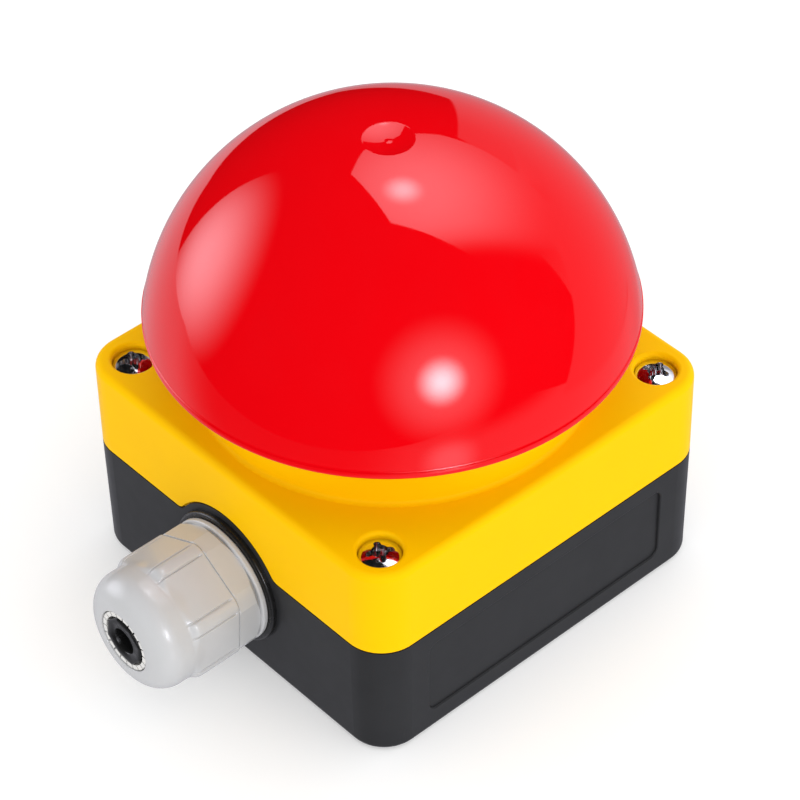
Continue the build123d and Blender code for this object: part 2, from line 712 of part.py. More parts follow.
# Opening contact block and closing contact block, side by side. The bridge of
# the first rests against its strips from below. The bridge of the second waits
# one travel above its strips.
for kind, side in (("nc", -1), ("no", 1)):
    middle = side * block_spacing / 2
    inner_height = strip_outer_height if kind == "nc" else closing_strip_height
    touch = -1 if kind == "nc" else 1
    strip_face = inner_height if kind == "nc" else inner_height + strip_thickness
    fixed_face = strip_face + touch * contact_height
    bridge_gap = 0 if kind == "nc" else button_travel + fit_clearance
    bridge_near = fixed_face + touch * (bridge_gap + contact_height)
    bridge_foot = bridge_near if kind == "no" else bridge_near - bridge_thickness
    room_foot = block_foot + block_floor
    room_head = block_head - block_roof
    room_width = block_width - block_wall - block_cover
    room_middle = middle + side * (block_wall - block_cover) / 2
    cover_inner = middle + side * (block_width / 2 - block_cover)

    with BuildPart() as housing:
        with BuildSketch(Plane.XY.offset(block_foot)):
            with Locations((middle - side * block_cover / 2, 0)):
                Rectangle(block_width - block_cover, block_length)
        extrude(amount=block_head - block_foot)
        with BuildSketch(Plane.XY.offset(room_foot)):
            with Locations((room_middle, 0)):
                Rectangle(room_width, block_room)
        extrude(amount=room_head - room_foot, mode=Mode.SUBTRACT)
        with BuildSketch(Plane.XY.offset(room_head)):
            with Locations((middle, 0)):
                Rectangle(plunger_size + 2 * plunger_play, plunger_size + 2 * plunger_play)
        extrude(amount=block_roof, mode=Mode.SUBTRACT)
        extrude(
            strip_profile(Plane.YZ.offset(middle), inner_height),
            amount=strip_width / 2, both=True, mode=Mode.SUBTRACT,
        )
        with BuildSketch(Plane.XY.offset(strip_outer_height + strip_thickness)):
            for way in (-1, 1):
                with Locations((middle, way * terminal_offset)):
                    Circle(terminal_pocket / 2)
                with Locations((middle, way * (terminal_offset + block_length / 2) / 2)):
                    Rectangle(terminal_pocket, block_length / 2 - terminal_offset)
        extrude(amount=block_head - strip_outer_height, mode=Mode.SUBTRACT)
        with BuildSketch(Plane.XY.offset(strip_outer_height)):
            with Locations((middle, terminal_offset), (middle, -terminal_offset)):
                Circle(terminal_screw / 2 + fit_clearance)
        extrude(amount=-terminal_screw_length, mode=Mode.SUBTRACT)
    housing.part.label = f"{kind}_housing"
    export_step(housing.part, f"parts/{kind}_housing.step")

    with BuildPart() as cover:
        with BuildSketch(Plane.YZ.offset(cover_inner)):
            with Locations((0, block_foot)):
                Rectangle(block_length, block_head - block_foot, align=(Align.CENTER, Align.MIN))
        extrude(amount=side * block_cover)
        chamfer(cover.faces().sort_by(Axis.X)[-1 if side > 0 else 0].edges(), block_cover_edge)
    cover.part.label = f"{kind}_cover"
    export_step(cover.part, f"parts/{kind}_cover.step")

    with BuildPart() as plunger:
        with BuildSketch(Plane.XY.offset(plunger_foot)):
            with Locations((middle, 0)):
                Rectangle(plunger_size, plunger_size)
        extrude(amount=plunger_head - plunger_foot)
        fillet(plunger.edges().group_by(Axis.Z)[-1], plunger_round)
        with BuildSketch(Plane.XY.offset(room_head - plunger_touch)):
            with Locations((middle, 0)):
                Rectangle(plunger_flange, plunger_flange)
        extrude(amount=-plunger_flange_height)
        with BuildSketch(Plane.XY.offset(plunger_foot)):
            with Locations((middle, 0)):
                Circle(plunger_pin / 2)
        extrude(amount=-plunger_pin_length)
        with BuildSketch(Plane.YZ.offset(middle)):
            with Locations((0, bridge_foot)):
                Rectangle(plunger_flange, bridge_thickness, align=(Align.CENTER, Align.MIN))
        extrude(amount=bridge_width / 2, both=True, mode=Mode.SUBTRACT)
    plunger.part.label = f"{kind}_plunger"
    export_step(plunger.part, f"parts/{kind}_plunger.step")

    with BuildPart() as bridge:
        with BuildSketch(Plane.XY.offset(bridge_foot)):
            with Locations((middle, 0)):
                SlotOverall(2 * contact_offset + bridge_width, bridge_width, rotation=90)
        extrude(amount=bridge_thickness)
        with BuildSketch(Plane.XY.offset(bridge_near)):
            with Locations((middle, contact_offset), (middle, -contact_offset)):
                Circle(contact_diameter / 2)
        extrude(amount=-touch * contact_height)
    bridge.part.label = f"{kind}_bridge"
    export_step(bridge.part, f"parts/{kind}_bridge.step")

    with BuildPart() as contact_spring:
        wire = contact_spring_wire
        wound = coil(room_foot, plunger_foot, contact_spring_diameter, wire, contact_spring_turns)
        with Locations((middle, 0, 0)):
            add(wound)
    contact_spring.part.label = f"{kind}_spring"
    export_step(contact_spring.part, f"parts/{kind}_spring.step")

    with BuildPart() as terminals:
        extrude(strip_profile(Plane.YZ.offset(middle), inner_height), amount=strip_width / 2, both=True)
        with BuildSketch(Plane.XY.offset(strip_face)):
            with Locations((middle, contact_offset), (middle, -contact_offset)):
                Circle(contact_diameter / 2)
        extrude(amount=touch * contact_height)
        with BuildSketch(Plane.XY.offset(strip_outer_height)):
            with Locations((middle, terminal_offset), (middle, -terminal_offset)):
                Circle(terminal_screw / 2 + fit_clearance)
        extrude(amount=strip_thickness, mode=Mode.SUBTRACT)
    terminals.part.label = f"{kind}_terminals"
    export_step(terminals.part, f"parts/{kind}_terminals.step")

    with BuildPart() as terminal_screws:
        head_foot = strip_outer_height + strip_thickness
        with BuildSketch(Plane.XY.offset(head_foot)):
            with Locations((middle, terminal_offset), (middle, -terminal_offset)):
                Circle(terminal_head / 2)
        extrude(amount=terminal_head_height)
        with BuildSketch(Plane.XY.offset(head_foot + terminal_head_height)):
            with Locations((middle, terminal_offset), (middle, -terminal_offset)):
                Rectangle(terminal_head, terminal_slot, rotation=terminal_screw_turn)
        extrude(amount=-terminal_head_height / 2, mode=Mode.SUBTRACT)
        with BuildSketch(Plane.XY.offset(head_foot)):
            with Locations((middle, terminal_offset), (middle, -terminal_offset)):
                Circle(terminal_screw / 2)
        extrude(amount=-terminal_screw_length)
    terminal_screws.part.label = f"{kind}_terminal_screws"
    export_step(terminal_screws.part, f"parts/{kind}_terminal_screws.step")

# Sealing ring between the gland and the base
with BuildPart() as gland_washer:
    with BuildSketch(gland_plane(0)):
        Circle(gland_washer_diameter / 2)
        Circle(gland_thread / 2 + gland_play, mode=Mode.SUBTRACT)
    extrude(amount=gland_washer_height)
    fillet(gland_washer.edges().group_by(Axis.Y)[0].sort_by(SortBy.RADIUS)[-1], gland_washer_round)
gland_washer.part.label = "gland_washer"
export_step(gland_washer.part, "parts/gland_washer.step")

# Hexagon from a foot outward, its corners turned off and both ends bevelled
def gland_hex(foot, height, flats, corner, back, bevel):
    near = -half - foot
    far = near - height
    with BuildPart() as prism:
        with BuildSketch(gland_plane(foot)):
            RegularPolygon(flats / 2, 6, major_radius=False, rotation=gland_turn)
        extrude(amount=height)
        fillet(prism.edges().filter_by(Axis.Y), gland_corner_round)
        with BuildSketch(Plane.YZ):
            with BuildLine():
                Polyline(
                    (near, gland_height),
                    (near, gland_height + corner / 2 - back),
                    (near - back, gland_height + corner / 2),
                    (far + bevel, gland_height + corner / 2),
                    (far, gland_height + corner / 2 - bevel),
                    (far, gland_height),
                    close=True,
                )
            make_face()
        revolve(axis=Axis((0, 0, gland_height), (0, 1, 0)), mode=Mode.INTERSECT)
    return prism.part


# Gland body: thread through the wall, flange, hexagon and neck for the nut
hex_foot = gland_washer_height + gland_flange_height
hex_head = hex_foot + gland_hex_height
with BuildPart() as gland_body:
    with BuildSketch(gland_plane(gland_washer_height)):
        Circle(gland_flange_diameter / 2)
    extrude(amount=gland_flange_height)
    fillet(gland_body.edges(), gland_flange_round)
    add(gland_hex(hex_foot, gland_hex_height, gland_flats, gland_corner, gland_back, gland_edge))
    with BuildSketch(gland_plane(gland_washer_height)):
        Circle(gland_thread / 2)
    extrude(amount=-gland_washer_height - gland_thread_inside)
    with BuildSketch(gland_plane(hex_head)):
        Circle(gland_neck_diameter / 2)
    extrude(amount=gland_neck_length)
    with BuildSketch(gland_plane(hex_head + gland_neck_length)):
        Circle(gland_bore / 2)
    extrude(amount=-gland_neck_length - hex_head - gland_thread_inside, mode=Mode.SUBTRACT)
gland_body.part.label = "gland_body"
export_step(gland_body.part, "parts/gland_body.step")

# Domed nut that squeezes the clamp ring on the seal. A rib stands on each
# corner of its hexagon, between two grooves.
nut_foot = hex_head + gland_joint
nut_head = nut_foot + gland_nut_length
mouth = gland_mouth / 2
groove_middle_side = (gland_rib_width + gland_groove_width) / 2
groove_face = (gland_nut_flats / 2 - groove_middle_side / 2) / cos(radians(30))
with BuildPart() as gland_nut:
    sides = gland_nut_flats
    add(gland_hex(nut_foot, gland_nut_hex_length, sides, gland_nut_corner, gland_edge, gland_nut_shoulder))
    with BuildSketch(gland_plane(nut_foot)):
        with PolarLocations(0, 6, start_angle=gland_turn):
            with Locations((groove_face, groove_middle_side), (groove_face, -groove_middle_side)):
                Rectangle(2 * gland_groove_depth, gland_groove_width)
    extrude(amount=gland_groove_length, mode=Mode.SUBTRACT)
    nose_tip = -half - nut_head
    nose_back = nose_tip + gland_nose_round
    nose_top = gland_height + gland_nose_bulge / 2
    nose_low = -half - nut_foot - gland_nut_hex_length + gland_nose_overlap
    nose_dip = gland_height + gland_nut_flats / 2 - gland_nose_dip
    with BuildSketch(Plane.YZ):
        with BuildLine():
            Polyline(
                (nose_low, nose_dip),
                (nose_low, gland_height),
                (nose_tip, gland_height),
                (nose_tip, nose_top - gland_nose_round),
            )
            TangentArc((nose_tip, nose_top - gland_nose_round), (nose_back, nose_top), tangent=(0, 1))
            Line((nose_back, nose_top), (nose_back + gland_nose_land, nose_top))
            TangentArc((nose_back + gland_nose_land, nose_top), (nose_low, nose_dip), tangent=(1, 0))
        make_face()
    revolve(axis=Axis((0, 0, gland_height), (0, 1, 0)))
    neck_room = gland_neck_length + gland_nut_play
    with BuildSketch(gland_plane(nut_foot)):
        Circle(gland_neck_diameter / 2 + gland_nut_play)
    extrude(amount=neck_room, mode=Mode.SUBTRACT)
    with BuildSketch(gland_plane(nut_foot + neck_room)):
        Circle(gland_neck_diameter / 2 + gland_nut_play)
    with BuildSketch(gland_plane(nut_head - gland_mouth_land)):
        Circle(mouth)
    loft(mode=Mode.SUBTRACT)
    with BuildSketch(gland_plane(nut_head)):
        Circle(mouth)
    extrude(amount=-gland_nut_length, mode=Mode.SUBTRACT)
    fillet(gland_nut.edges().filter_by(GeomType.CIRCLE).group_by(Axis.Y)[0], gland_mouth_round)
gland_nut.part.label = "gland_nut"
export_step(gland_nut.part, "parts/gland_nut.step")

# Ring of lamellae behind the nut's mouth
with BuildPart() as gland_clamp:
    clamp_head = nut_head - clamp_recess
    clamp_outer = mouth - gland_play
    with BuildSketch(gland_plane(clamp_head)):
        Circle(clamp_outer)
        Circle(clamp_outer - clamp_wall, mode=Mode.SUBTRACT)
    extrude(amount=-clamp_length)
    with BuildSketch(gland_plane(clamp_head)):
        with PolarLocations(clamp_outer - clamp_wall / 2, clamp_lamellae):
            Rectangle(2 * clamp_wall, clamp_slot)
    extrude(amount=-clamp_slot_depth, mode=Mode.SUBTRACT)
gland_clamp.part.label = "gland_clamp"
export_step(gland_clamp.part, "parts/gland_clamp.step")

# Rubber bush that closes on the cable
with BuildPart() as gland_seal:
    with BuildSketch(gland_plane(nut_head - seal_recess)):
        Circle(clamp_outer - clamp_wall - gland_play)
        Circle(seal_bore / 2, mode=Mode.SUBTRACT)
    extrude(amount=-seal_length)
gland_seal.part.label = "gland_seal"
export_step(gland_seal.part, "parts/gland_seal.step")

# Nut that holds the gland from inside
with BuildPart() as gland_locknut:
    with BuildSketch(gland_plane(-wall)):
        RegularPolygon(locknut_flats / 2, 6, major_radius=False)
        Circle(gland_thread / 2 + gland_play, mode=Mode.SUBTRACT)
    extrude(amount=-locknut_height)
gland_locknut.part.label = "gland_locknut"
export_step(gland_locknut.part, "parts/gland_locknut.step")
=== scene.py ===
import bpy
import json
import math
from mathutils import Matrix, Vector


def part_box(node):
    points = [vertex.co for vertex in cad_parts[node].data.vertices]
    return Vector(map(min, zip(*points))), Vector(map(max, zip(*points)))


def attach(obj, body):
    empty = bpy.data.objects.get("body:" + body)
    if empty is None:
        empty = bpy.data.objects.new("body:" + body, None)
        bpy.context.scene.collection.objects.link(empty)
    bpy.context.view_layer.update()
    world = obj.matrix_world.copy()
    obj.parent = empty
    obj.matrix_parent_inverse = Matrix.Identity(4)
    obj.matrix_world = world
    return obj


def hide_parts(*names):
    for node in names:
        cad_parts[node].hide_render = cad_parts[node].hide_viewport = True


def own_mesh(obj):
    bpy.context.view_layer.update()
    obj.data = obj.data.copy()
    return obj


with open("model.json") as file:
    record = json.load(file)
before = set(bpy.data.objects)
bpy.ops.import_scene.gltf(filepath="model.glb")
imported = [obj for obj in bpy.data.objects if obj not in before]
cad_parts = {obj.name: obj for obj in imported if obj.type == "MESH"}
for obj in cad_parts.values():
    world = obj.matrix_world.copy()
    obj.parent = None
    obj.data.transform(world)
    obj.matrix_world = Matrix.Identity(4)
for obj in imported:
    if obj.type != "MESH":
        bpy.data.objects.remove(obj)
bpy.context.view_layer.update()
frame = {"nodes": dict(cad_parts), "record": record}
scene = bpy.context.scene
scene.view_settings.view_transform = "Standard"
MM = 0.001

# Camera, from the photograph's own perspective: place and clipping in metres, lens in mm
CAMERA_AT = (0.34556, -0.30386, 0.46166)
CAMERA_RIGHT = (0.67214, 0.74026, -0.01576)
CAMERA_FORWARD = (-0.55089, 0.48575, -0.67865)
SENSOR = 36.0
LENS = 147.49
SHIFT_X = 0.0029
SHIFT_Y = 0.0003
CLIP_NEAR = 0.01
CLIP_FAR = 20

# Light on matt surfaces: the room's radiance at heights from the horizon (0) to overhead (1)
AMBIENT = ((0.0, 0.85), (0.2, 1.54), (0.45, 1.51), (0.7, 1.03), (1.0, 0.97))
# More of it comes from the right of the picture, and a little more from its front
AMBIENT_PULL = (0.36, 0.14, 0.0)
# What the camera sees behind the object, straight or through it
BACKDROP = 1.0
WHITE = (1, 1, 1, 1)

# Glossy surfaces mirror a dark room, whose lights are a touch blue
GLOSS_DARK = 0.006
GLOSS_TINT = (1.0, 1.0, 1.1, 1)
# Half the width of a crisp edge in the mirrored room
SHARP = 0.006
# Round lamp and its halo, degrees from their aim
SPOT_AIM = (0.894, -0.316, 0.318)
SPOT_WIDE = 13.0
SPOT_TIGHT = 0.0
SPOT_RADIANCE = 17.0
HALO_WIDE = 32.0
HALO_TIGHT = 4.0
HALO_RADIANCE = 1.8
# Soft panel on the left, cut off by the plane with this inward normal
PANEL_AIM = (-0.88, -0.42, 0.2)
PANEL_WIDE = 33.0
PANEL_TIGHT = 2.0
PANEL_RADIANCE = 4.3
PANEL_EDGE = (0.067, -0.741, 0.207)
# Skylight above the back wall, with a brighter core. A reach is two cosines to an aim, for start and end
SKY_CORNERS = (
    (-0.459, 0.725, 0.513),
    (-0.549, 0.606, 0.576),
    (-0.609, 0.355, 0.71),
    (-0.531, 0.171, 0.83),
    (-0.042, 0.042, 0.998),
    (0.34, 0.279, 0.898),
    (0.441, 0.771, 0.459),
    (0.38, 0.87, 0.1),
)
SKY_SOFT = (SHARP, SHARP, SHARP, SHARP, SHARP, 0.2, 0.1, SHARP)
SKY_AIM = (-0.1, 0.35, 0.93)
SKY_REACH = (0.5, 1)
SKY_RADIANCE = 2.75
SKY_POWER = 3.0
SKY_CORE_AIM = (-0.204, 0.29, 0.935)
SKY_CORE_WIDE = 9.0
SKY_CORE_TIGHT = 0.0
SKY_CORE_RADIANCE = 7.0
# Back wall, its lower corners and its right end: inward normals of the planes that bound them
WALL_SIDES = ((0.342, 0.267, -0.141), (-0.094, 0.556, -1.0), (-0.434, 0.315, -0.112), (0.0, 0.446, 1.0))
WALL_SOFT = (SHARP, 0.34, SHARP, 0.03)
CORNER_SIDES = ((0.127, 0.085, -0.155), (-1.0, 0.0, 0.0), (0.0, 0.7, 1.0))
CORNER_SOFT = (SHARP, 0.1, 0.03)
RIGHT_SIDES = ((-0.192, 0.179, -0.266), (1.0, 0.0, 0.0), (0.0, 1.0, 0.0), (0.0, 0.446, 1.0))
RIGHT_SOFT = (0.012, 0.05, 0.05, 0.03)
WALL_RADIANCE = 0.36
# Dark notch between the wall and the skylight
NOTCH_SIDES = ((0.094, -0.556, 1.0), (-0.554, 0.357, -1.0))
NOTCH_SOFT = (SHARP, SHARP)
# Table top: inward normals of its edges. It darkens towards -Y, brightens towards -X and has a lamp's glow
TABLE_SIDES = ((0.17, 0.0, -1.0), (0.0, 0.26, -1.0), (-0.15, 0.0, -1.0), (0.084, -0.446, -1.0))
TABLE_SOFT = (SHARP, SHARP, 0.1, SHARP)
TABLE_RADIANCE = 0.45
TABLE_FRONT_AIM = (0, -1, 0)
TABLE_FRONT_REACH = (0.45, 0.85)
TABLE_FRONT_LOSS = 0.86
TABLE_LEFT_AIM = (-1, -0.2, 0)
TABLE_LEFT_REACH = (0.6, 0.9)
TABLE_LEFT_GAIN = 0.22
TABLE_LAMP_AIM = (0.89, -0.31, -0.33)
TABLE_LAMP_WIDE = 14.0
TABLE_LAMP_TIGHT = 2.0
TABLE_LAMP_RADIANCE = 1.4

# Noise in the finishes: the part of its range that is used, and its detail for tone, gloss and grain
NOISE_RANGE = (0.3, 0.7)
TONE_DETAIL = 3
GLOSS_DETAIL = 0
GRAIN_DETAIL = 2
# The clouds in the gloss are this many times smaller than those in the tone
GLOSS_FINER = 3

# Floor: a white disc that keeps a soft shadow, metres
FLOOR_RADIUS = 0.31
FLOOR_DEEP = 0.0002
FLOOR_SIDES = 128
FLOOR_GLOW = 0.3
FLOOR_WHITE = 0.75

# Palm button, mm
DOME_RADIUS = 47.25
DOME_RISE = 46.5
DOME_MIDDLE = 53.7
DOME_WALL = 2.4
INNER_RADIUS = DOME_RADIUS - DOME_WALL
INNER_RISE = DOME_RISE - DOME_WALL
RIM_FOOT = 60.4
RIM_HEIGHT = 1.5
RIM_RADIUS = 46.63
RIM_ROUND = 0.5
# Offsets of the points on two fine edges: the lip's top one and the shell's inner one at its foot
LIP_EDGE = ((-0.03, -0.01), (0.0, -0.05))
FOOT_EDGE = ((0.1, 0.0), (0.02, 0.02))
FOOT_LIFT = 0.05
DIMPLE_DEPTH = 0.85
DIMPLE_CURVE = 18.87
DIMPLE_BLEND = 0.07
NUB_ROUND = 2.4
NUB_HEIGHT = 0.09
NUB_BLEND = 0.06
# Rings of points on the top: first radius, step and number, closest at the nub and the dimple's edge
TOP_RINGS = ((0.04, 0.06, 20), (1.3, 0.25, 12), (4.25, 0.05, 24))
TOP_END = 5.6
AXIS_RADIUS = 0.04
DOME_AROUND = 240
DOME_RINGS = 120
INNER_RINGS = 48
RIM_RINGS = 8
HUB_FOOT = 74.0
HUB_RADIUS = 11.0
HUB_SIDE = 8.0
HUB_BEVEL = 0.3
HUB_BORE = 5.05
HUB_BORE_TOP = 86.0
HUB_ANGLE = math.asin(HUB_RADIUS / INNER_RADIUS)
RIB_COUNT = 4
RIB_FOOT = 78.0
RIB_REACH = 36.0
RIB_RISE = 2.0
RIB_SLOPE = 0.35
RIB_THICK = 1.8
RIB_BEVEL = 0.15
RIB_DRAFT = 0.01
RIB_IN_HUB = 0.5
RIB_IN_SHELL = 0.3
RIB_STEPS = 12

# Rubber boot and return spring under the dome, mm
BOOT_FOOT = 58.0
BOOT_HEAD = 70.0
BOOT_INNER = 18.4
BOOT_OUTER = 26.0
BOOT_WALL = 0.8
BOOT_FOLDS = 3
BOOT_BLUNT = 0.8
BOOT_RINGS = 96
BOOT_AROUND = 96
SPRING_DIAMETER = 14.4
SPRING_WIRE = 1.2
SPRING_TURNS = 4

# Contact springs, mm
CONTACT_DIAMETER = 4.6
CONTACT_WIRE = 0.7
CONTACT_TURNS = 5

# Points round a spring's wire and along one turn, and how far its end turns close up
WIRE_AROUND = 12
TURN_STEPS = 48
END_CLOSED = 0.6

# Gland nut, mm: distances run from its foot, angles from +X towards +Z
NUT_FOOT = -49.9
NUT_HEIGHT = 18.8
NUT_LENGTH = 18.2
NUT_FACE = 11.8
NUT_CORNER = 13.15
NUT_TURN = 26.0
NUT_BEVEL_FROM = 9.5
NUT_EDGE = 0.35
NUT_BLEND = 0.55
RIB_HALF = 1.6
GROOVE_FROM = 0.6
GROOVE_TO = 10.9
GROOVE_DEPTH = 0.42
GROOVE_SPREAD = 0.2
NUT_JOINT = 0.07
NUT_JOINT_EDGE = 0.05
NOSE_BULGE = 12.15
NOSE_ROUND = 5.2
NOSE_LAND = 1.5
NOSE_RUN = 3.7
NOSE_DIP = 0.9
NOSE_RINGS = 36
MOUTH = 6.42
MOUTH_ROUND = 0.3
MOUTH_RINGS = 6
MOUTH_FACE = 0.1
MOUTH_LAND = 4.0
NECK_ROOM = 10.0
NECK_DEPTH = 8.3
# Columns of points, degrees from a corner and closest at the groove, then those on the rest of a flat
SECTOR = 60
NEAR_CORNER = (1, 2, 3, 3.6, 4.2, 5, 5.6)
AT_GROOVE = (5.9, 0.2, 13)
PAST_GROOVE = (8.8, 9.5, 11)
FLAT_COLUMNS = 13
# Rings of points up to the nose: first distance, step and number
NUT_RINGS = ((0.1, 0.3, 5), (1.6, 0.5, 15), (9.2, 0.15, 25))

# Rubber bush in the nose, squeezed by the clamp into an uneven outline, mm
SEAL_FRONT = -68.0
SEAL_BACK = -57.2
SEAL_ROUND = 5.12
SEAL_ROUND_FROM = 3.4
SEAL_BORE = 2.65
SEAL_BORE_BACK = 0.25
SEAL_AROUND = 160
SEAL_CORNERS = (
    (18, 5.3),
    (60, 4.95),
    (108, 5.25),
    (150, 5.05),
    (200, 5.35),
    (246, 4.95),
    (291, 5.3),
    (336, 5.0),
)
# How much the bore widens and the outline draws in, each with its depth behind the front
SEAL_BORE_EDGE = ((0.0, 1.2), (0.05, 0.25), (0.2, 0.06))
SEAL_OUTER_EDGE = ((0.5, 0.0), (0.22, 0.03), (0.06, 0.14), (0.0, 0.35), (0.0, 2.2))


def camera():
    data = bpy.data.cameras.new("camera")
    data.sensor_width = SENSOR
    data.lens = LENS
    data.shift_x = SHIFT_X
    data.shift_y = SHIFT_Y
    data.clip_start = CLIP_NEAR
    data.clip_end = CLIP_FAR
    cam = bpy.data.objects.new("camera", data)
    scene.collection.objects.link(cam)
    right = Vector(CAMERA_RIGHT).normalized()
    back = -Vector(CAMERA_FORWARD).normalized()
    up = back.cross(right).normalized()
    right = up.cross(back).normalized()
    turn = Matrix((right, up, back)).transposed().to_4x4()
    cam.matrix_world = Matrix.Translation(CAMERA_AT) @ turn
    scene.camera = cam


# Give a socket a number, or join it to a node's output
def feed(tree, socket, value):
    if isinstance(value, (int, float)):
        socket.default_value = value
    else:
        tree.links.new(value, socket)


def arithmetic(tree, operation, *values):
    node = tree.nodes.new("ShaderNodeMath")
    node.operation = operation
    for socket, value in zip(node.inputs, values):
        feed(tree, socket, value)
    return node.outputs[0]


def plus(tree, total, *others):
    for other in others:
        total = arithmetic(tree, "ADD", total, other)
    return total


def times(tree, first, second):
    return arithmetic(tree, "MULTIPLY", first, second)


def without(tree, share):
    return arithmetic(tree, "SUBTRACT", 1.0, share)


def ramp(tree, value, low, high, start, end, smooth=True):
    node = tree.nodes.new("ShaderNodeMapRange")
    node.interpolation_type = "SMOOTHSTEP" if smooth else "LINEAR"
    tree.links.new(value, node.inputs["Value"])
    for name, number in (("From Min", low), ("From Max", high), ("To Min", start), ("To Max", end)):
        node.inputs[name].default_value = number
    return node.outputs["Result"]


def number_mix(tree, factor, first, second):
    node = tree.nodes.new("ShaderNodeMix")
    for name, value in (("Factor", factor), ("A", first), ("B", second)):
        feed(tree, node.inputs[name], value)
    return node.outputs["Result"]


def colour_mix(tree, factor, first, second):
    node = tree.nodes.new("ShaderNodeMix")
    node.data_type = "RGBA"
    tree.links.new(factor, node.inputs["Factor"])
    colours = [socket for socket in node.inputs if socket.type == "RGBA"]
    for socket, colour in zip(colours, (first, second)):
        socket.default_value = colour
    return [socket for socket in node.outputs if socket.type == "RGBA"][0]


# Cosine between the ray and a direction
def along(tree, ray, direction):
    node = tree.nodes.new("ShaderNodeVectorMath")
    node.operation = "DOT_PRODUCT"
    tree.links.new(ray, node.inputs[0])
    node.inputs[1].default_value = Vector(direction).normalized()
    return node.outputs["Value"]


# Share of a patch, bounded by planes through the eye, that the ray sees
def patch(tree, ray, normals, softness):
    shares = []
    for normal, soft in zip(normals, softness):
        shares.append(ramp(tree, along(tree, ray, normal), -soft, soft, 0, 1))
    share = shares[0]
    for other in shares[1:]:
        share = times(tree, share, other)
    return share


# Inward normals of the planes through the eye and two neighbouring corners
def edges_of(corners):
    points = [Vector(corner).normalized() for corner in corners]
    middle = sum(points, Vector()) / len(points)
    normals = []
    for here, following in zip(points, points[1:] + points[:1]):
        inward = here.cross(following).normalized()
        normals.append(-inward if inward.dot(middle) < 0 else inward)
    return normals


# Round glow: nothing beyond the wide angle, its peak inside the tight one
def glow(tree, ray, aim, wide, tight, peak):
    angle = arithmetic(tree, "ARCCOSINE", along(tree, ray, aim))
    return ramp(tree, angle, math.radians(tight), math.radians(wide), peak, 0)


# Share of the ray that sees the back wall or the skylight, and their radiance
def wall_and_sky(tree, ray):
    share = patch(tree, ray, edges_of(SKY_CORNERS), SKY_SOFT)
    walls = ((WALL_SIDES, WALL_SOFT), (CORNER_SIDES, CORNER_SOFT), (RIGHT_SIDES, RIGHT_SOFT))
    for sides, soft in walls:
        share = arithmetic(tree, "MAXIMUM", share, patch(tree, ray, sides, soft))
    share = times(tree, share, without(tree, patch(tree, ray, NOTCH_SIDES, NOTCH_SOFT)))
    near_sky = ramp(tree, along(tree, ray, SKY_AIM), *SKY_REACH, 0, 1, smooth=False)
    sky = times(tree, arithmetic(tree, "POWER", near_sky, SKY_POWER), SKY_RADIANCE)
    core = glow(tree, ray, SKY_CORE_AIM, SKY_CORE_WIDE, SKY_CORE_TIGHT, SKY_CORE_RADIANCE)
    return share, plus(tree, sky, WALL_RADIANCE, core)


# Share of the ray that sees the table top where the wall doesn't hide it, and its radiance
def table_top(tree, ray, wall):
    share = times(tree, patch(tree, ray, TABLE_SIDES, TABLE_SOFT), without(tree, wall))
    forward = along(tree, ray, TABLE_FRONT_AIM)
    front = ramp(tree, forward, *TABLE_FRONT_REACH, 1, 1 - TABLE_FRONT_LOSS)
    leftward = along(tree, ray, TABLE_LEFT_AIM)
    left = ramp(tree, leftward, *TABLE_LEFT_REACH, TABLE_RADIANCE, TABLE_RADIANCE + TABLE_LEFT_GAIN)
    lamp = glow(tree, ray, TABLE_LAMP_AIM, TABLE_LAMP_WIDE, TABLE_LAMP_TIGHT, TABLE_LAMP_RADIANCE)
    return share, plus(tree, times(tree, front, left), lamp)


# What a glossy surface mirrors in each direction
def mirrored_room(tree, ray):
    wall, wall_light = wall_and_sky(tree, ray)
    table, table_light = table_top(tree, ray, wall)
    panel = glow(tree, ray, PANEL_AIM, PANEL_WIDE, PANEL_TIGHT, PANEL_RADIANCE)
    panel = times(tree, panel, patch(tree, ray, [PANEL_EDGE], [SHARP]))
    panel = times(tree, panel, without(tree, table))
    spot = glow(tree, ray, SPOT_AIM, SPOT_WIDE, SPOT_TIGHT, SPOT_RADIANCE)
    halo = glow(tree, ray, SPOT_AIM, HALO_WIDE, HALO_TIGHT, HALO_RADIANCE)
    lit = plus(tree, times(tree, wall, wall_light), times(tree, table, table_light))
    return plus(tree, lit, panel, plus(tree, spot, halo, GLOSS_DARK))


# What lights matt surfaces from each direction
def room_light(tree, ray):
    height = along(tree, ray, (0, 0, 1))
    level = times(tree, along(tree, ray, AMBIENT_PULL), Vector(AMBIENT_PULL).length)
    level = plus(tree, level, AMBIENT[0][1])
    for (low, dim), (high, bright) in zip(AMBIENT, AMBIENT[1:]):
        level = plus(tree, level, ramp(tree, height, low, high, 0, bright - dim, smooth=False))
    return level


def studio():
    world = bpy.data.worlds.new("studio")
    world.use_nodes = True
    tree = world.node_tree
    background = tree.nodes["Background"]
    ray = tree.nodes.new("ShaderNodeTexCoord").outputs["Generated"]
    flags = tree.nodes.new("ShaderNodeLightPath").outputs
    strength = room_light(tree, ray)
    strength = number_mix(tree, flags["Is Glossy Ray"], strength, mirrored_room(tree, ray))
    for name in ("Is Camera Ray", "Is Transmission Ray"):
        strength = number_mix(tree, flags[name], strength, BACKDROP)
    tree.links.new(strength, background.inputs["Strength"])
    tint = colour_mix(tree, flags["Is Glossy Ray"], WHITE, GLOSS_TINT)
    tree.links.new(tint, background.inputs["Color"])
    scene.world = world


